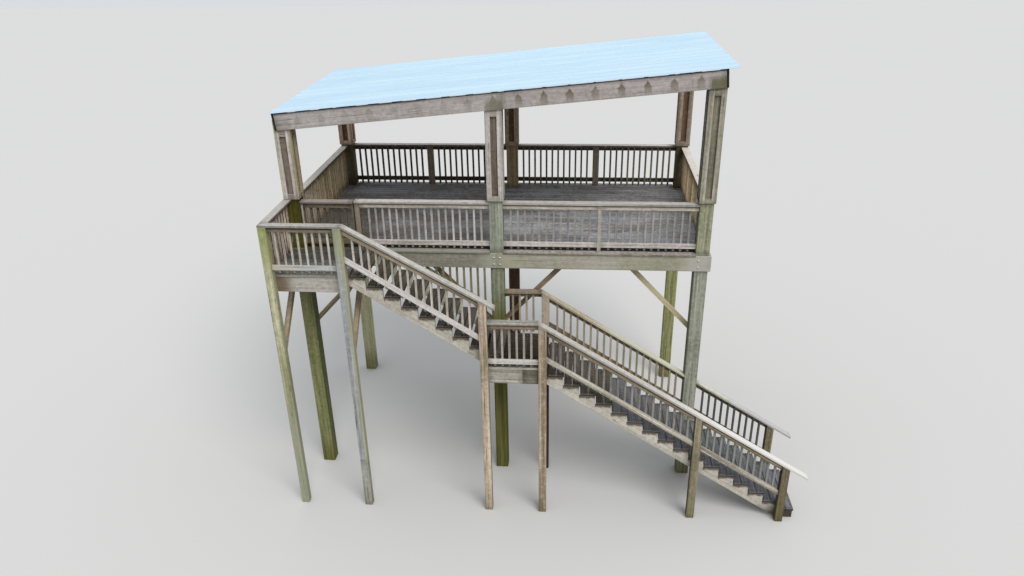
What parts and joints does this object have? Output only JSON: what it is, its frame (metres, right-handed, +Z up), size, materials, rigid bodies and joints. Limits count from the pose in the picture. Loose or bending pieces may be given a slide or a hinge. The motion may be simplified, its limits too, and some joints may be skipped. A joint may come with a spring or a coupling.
{
  "type": "raised viewing deck tower",
  "caption": "Roofed timber viewing deck on tall square posts, with guards, a gate and a two-flight outside stair with a middle landing.",
  "frame": {"origin": "centre of the foot of the middle front main post, on the ground", "axes": "+X to the right along the front, the stair going down that way; +Y to the back; +Z up"},
  "size_m": [9.538, 5.3113, 8.1237],
  "materials": {
    "treated_post": "weathered green-treated timber",
    "column_wood": "weathered grey-beige boards",
    "beam_wood": "weathered grey boards",
    "floor_boards": "dark weathered boards",
    "guard_wood": "bleached boards",
    "framing_wood": "sawn treated boards",
    "stair_post_wood": "brown treated timber",
    "roof_metal": "satin ribbed sheet",
    "hinge_steel": "galvanised, dull"
  },
  "bodies": {
    "tower": {"main_posts_front": "treated_post", "main_posts_back": "treated_post", "columns_front": "column_wood", "columns_back": "column_wood", "deck_beams_outer": "beam_wood", "deck_beams_inner": "framing_wood", "deck_side_rims": "beam_wood", "deck_joists": "framing_wood", "deck_floor": "floor_boards", "guard_front_left": "guard_wood", "guard_front_right": "guard_wood", "guard_back_left": "guard_wood", "guard_back_right": "guard_wood", "guard_left": "guard_wood", "guard_right": "guard_wood", "gate_hinge_seats": "hinge_steel", "knee_braces": "framing_wood", "landing_braces": "framing_wood", "top_landing_posts": "treated_post", "mid_landing_posts": "stair_post_wood", "lower_flight_posts": "stair_post_wood", "back_stair_posts": "stair_post_wood", "top_landing_rim": "framing_wood", "top_landing_side_rims": "framing_wood", "top_landing_joists": "framing_wood", "top_landing_floor": "floor_boards", "top_guard_left": "guard_wood", "top_guard_front": "guard_wood", "upper_stringers": "framing_wood", "upper_treads": "floor_boards", "upper_guard_front": "guard_wood", "upper_guard_back": "guard_wood", "mid_landing_rims": "framing_wood", "mid_landing_side_rims": "framing_wood", "mid_landing_joists": "framing_wood", "mid_landing_floor": "floor_boards", "mid_guard_front": "guard_wood", "mid_guard_back": "guard_wood", "lower_stringers": "framing_wood", "lower_treads": "floor_boards", "lower_guard_front": "guard_wood", "lower_guard_back": "guard_wood", "roof_beams": "beam_wood", "roof_purlins": "framing_wood", "roof_sheet": "roof_metal"},
    "gate": {"gate": "guard_wood", "gate_hinges": "hinge_steel"}
  },
  "joints": [
    {"name": "gate_swing", "type": "hinge", "parent": "tower", "child": "gate", "pos_m": [-3.5315, 0.029, 5.3], "axis": [0, 0, 1], "range_deg": [0, 90]}
  ]
}
